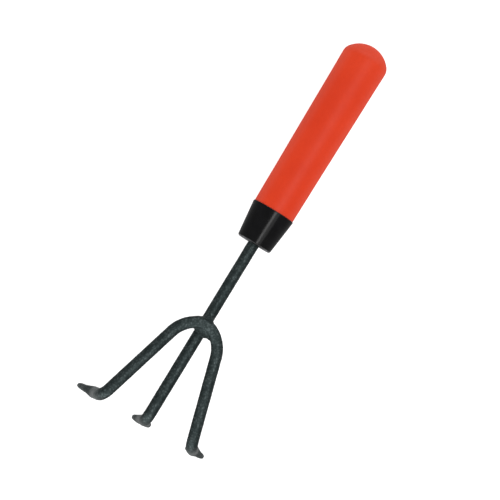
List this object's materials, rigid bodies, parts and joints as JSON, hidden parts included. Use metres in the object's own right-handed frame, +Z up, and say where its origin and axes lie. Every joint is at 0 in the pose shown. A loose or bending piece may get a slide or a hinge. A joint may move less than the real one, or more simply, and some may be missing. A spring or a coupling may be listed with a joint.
{
  "type": "hand cultivator",
  "caption": "Short-handled soil cultivator: domed plastic grip, conical ferrule, and a welded round-rod fork whose tines bend down into flat pointed blades.",
  "frame": {"origin": "on the bench, under the middle of the tool's footprint, with the tool lying blades down", "axes": "+X from the butt of the grip towards the tines, +Y to the left, +Z up from the bench; the handle's axis rises 3.6 degrees towards the tines"},
  "size_m": [0.3048, 0.1008, 0.0453],
  "materials": {
    "grip_plastic": "satin orange-red moulding",
    "ferrule_plastic": "black moulding, semi-gloss",
    "hammered_paint": "dark green-grey hammered enamel on steel rod",
    "painted_weld": "weld metal under the same enamel"
  },
  "bodies": {
    "root": {"grip": "grip_plastic", "ferrule": "ferrule_plastic", "centre_bar": "hammered_paint", "tine_bow": "hammered_paint", "weld_crotch_left": "painted_weld", "weld_crotch_right": "painted_weld", "weld_shoulder_left": "painted_weld", "weld_shoulder_right": "painted_weld"}
  },
  "joints": []
}
